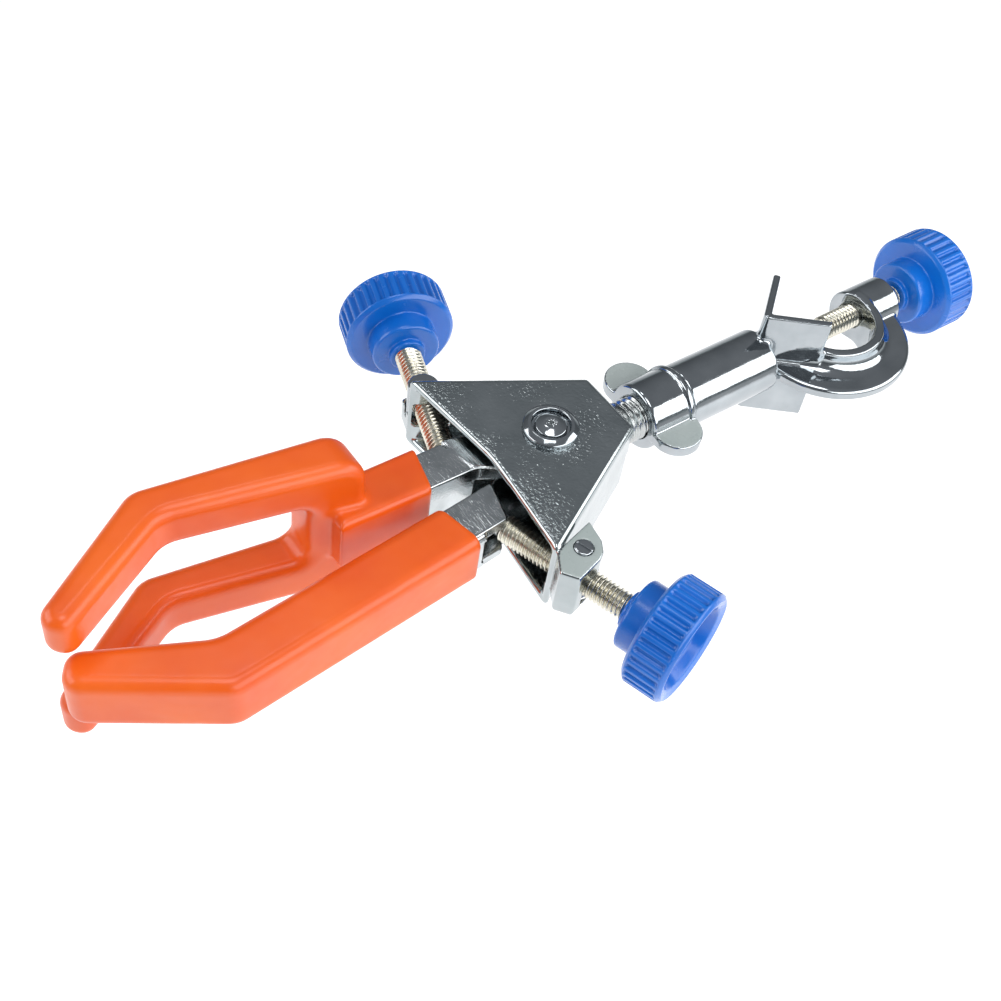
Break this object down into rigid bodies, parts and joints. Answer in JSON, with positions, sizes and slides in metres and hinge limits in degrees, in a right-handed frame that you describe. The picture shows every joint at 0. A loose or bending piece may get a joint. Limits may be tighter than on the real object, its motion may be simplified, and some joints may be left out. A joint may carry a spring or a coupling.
{
  "type": "test tube clamp",
  "caption": "Three-prong clamp with a boss head: a fork and a finger, each set by its own thumb screw, hold a tube; the head swivels on the boss head that grips a stand rod.",
  "frame": {"origin": "the axis of the support rod in the boss head, at mid-height of the V-jaw", "axes": "+Z along the support rod, parallel to the arms' rivet at rest; +X from the rod towards the prongs; the fork is on the -Y side and the single finger on the +Y side"},
  "size_m": [0.2344, 0.1172, 0.038],
  "materials": {
    "plated_zinc": "bright nickel plate on a zinc casting",
    "plated_steel": "plated steel thread, slightly yellow",
    "pad_steel": "smooth turned steel",
    "arm_metal": "bright plate with a brushed top",
    "spring_steel": "plain spring steel",
    "vinyl_coating": "satin orange dip-moulded vinyl",
    "knob_plastic": "glossy blue moulded plastic"
  },
  "bodies": {
    "boss_head": {"boss_head_casting": "plated_zinc", "stud_snap_ring": "spring_steel"},
    "rod_pad": {"rod_screw_pad": "pad_steel"},
    "rod_screw": {"rod_screw": "plated_steel", "rod_screw_knob": "knob_plastic"},
    "head": {"head_frame": "plated_zinc", "swivel_stud": "plated_steel", "pivot_rivet": "plated_zinc", "rivet_washer_top": "plated_zinc", "rivet_washer_bottom": "plated_zinc", "arm_spacer_top": "spring_steel", "arm_spacer_bottom": "spring_steel", "torsion_spring": "spring_steel"},
    "wing_nut": {"wing_nut": "plated_zinc"},
    "fork": {"fork_arm": "arm_metal", "fork_coating": "vinyl_coating"},
    "finger": {"finger_arm": "arm_metal", "finger_coating": "vinyl_coating"},
    "fork_nut": {"fork_swivel_nut": "plated_zinc"},
    "fork_pad": {"fork_screw_pad": "pad_steel"},
    "fork_screw": {"fork_screw": "plated_steel", "fork_screw_knob": "knob_plastic"},
    "finger_nut": {"finger_swivel_nut": "plated_zinc"},
    "finger_pad": {"finger_screw_pad": "pad_steel"},
    "finger_screw": {"finger_screw": "plated_steel", "finger_screw_knob": "knob_plastic"}
  },
  "joints": [
    {"name": "head_swivel", "type": "hinge", "parent": "boss_head", "child": "head", "pos_m": [0.022, 0, 0], "axis": [1, 0, 0], "continuous": true},
    {"name": "wing_nut_turn", "type": "hinge", "parent": "head", "child": "wing_nut", "pos_m": [0.038, 0, 0], "axis": [1, 0, 0], "continuous": true},
    {"name": "rod_screw_turn", "type": "hinge", "parent": "rod_pad", "child": "rod_screw", "pos_m": [-0.0085, 0, 0], "axis": [1, 0, 0], "range_deg": [-4680, 1260]},
    {"name": "rod_screw_travel", "type": "slide", "parent": "boss_head", "child": "rod_pad", "axis": [1, 0, 0], "range_m": [-0.0131, 0.0036]},
    {"name": "fork_swing", "type": "hinge", "parent": "head", "child": "fork", "pos_m": [0.0714, 0, 0], "axis": [0, 0, 1], "range_deg": [-24.9, 3]},
    {"name": "finger_swing", "type": "hinge", "parent": "head", "child": "finger", "pos_m": [0.0714, 0, 0], "axis": [0, 0, 1], "range_deg": [-3, 24.9]},
    {"name": "fork_screw_turn", "type": "hinge", "parent": "fork_pad", "child": "fork_screw", "pos_m": [0.084, -0.0283, 0], "axis": [0.3107, 0.9505, 0], "range_deg": [-3000, 360]},
    {"name": "fork_nut_swivel", "type": "hinge", "parent": "head", "child": "fork_nut", "pos_m": [0.084, -0.0283, 0], "axis": [0, 0, 1], "range_deg": [-1.3, 10.5]},
    {"name": "fork_screw_travel", "type": "slide", "parent": "fork_nut", "child": "fork_pad", "axis": [0.3107, 0.9505, 0], "range_m": [-0.00835, 0.00101]},
    {"name": "finger_screw_turn", "type": "hinge", "parent": "finger_pad", "child": "finger_screw", "pos_m": [0.084, 0.0283, 0], "axis": [0.3107, -0.9505, 0], "range_deg": [-3000, 360]},
    {"name": "finger_nut_swivel", "type": "hinge", "parent": "head", "child": "finger_nut", "pos_m": [0.084, 0.0283, 0], "axis": [0, 0, 1], "range_deg": [-10.5, 1.3]},
    {"name": "finger_screw_travel", "type": "slide", "parent": "finger_nut", "child": "finger_pad", "axis": [0.3107, -0.9505, 0], "range_m": [-0.00835, 0.00101]}
  ],
  "couplings": [
    {"joint": "rod_screw_travel", "follows": "rod_screw_turn", "m_per_rad": 0.00015915},
    {"joint": "fork_screw_travel", "follows": "fork_screw_turn", "m_per_rad": 0.00015915},
    {"joint": "fork_swing", "follows": "fork_screw_turn", "ratio": 0.0082893},
    {"joint": "fork_nut_swivel", "follows": "fork_screw_turn", "ratio": -0.0034815},
    {"joint": "finger_screw_travel", "follows": "finger_screw_turn", "m_per_rad": 0.00015915},
    {"joint": "finger_swing", "follows": "finger_screw_turn", "ratio": -0.0082893},
    {"joint": "finger_nut_swivel", "follows": "finger_screw_turn", "ratio": 0.0034815}
  ]
}
